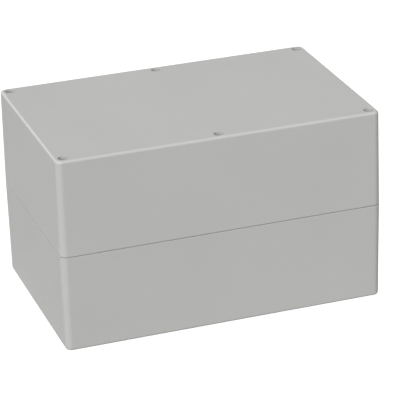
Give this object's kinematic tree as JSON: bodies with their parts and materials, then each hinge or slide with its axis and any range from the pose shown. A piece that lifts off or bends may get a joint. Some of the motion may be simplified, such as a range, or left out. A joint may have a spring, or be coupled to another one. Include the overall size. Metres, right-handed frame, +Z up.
{
  "type": "plastic project box",
  "caption": "Rectangular plastic enclosure in two equal halves, with lid screws in deep wells and a grooved rim with a gasket.",
  "frame": {"origin": "middle of the underside, which stands on the surface", "axes": "+X along the length, +Y across the width towards the back, +Z up, the way the lid lifts"},
  "size_m": [0.25, 0.16, 0.15],
  "materials": {
    "moulded_base": "light grey moulded plastic, fine satin texture",
    "moulded_lid": "light grey moulded plastic, fine satin texture",
    "gasket": "cream elastomer, matt",
    "screws": "plain stainless steel"
  },
  "bodies": {
    "base": {"base": "moulded_base", "gasket": "gasket"},
    "lid": {"lid": "moulded_lid", "lid_screws": "screws"}
  },
  "joints": [
    {"name": "lid_lift", "type": "slide", "parent": "base", "child": "lid", "axis": [0, 0, 1], "range_m": [0, 0.12]}
  ]
}
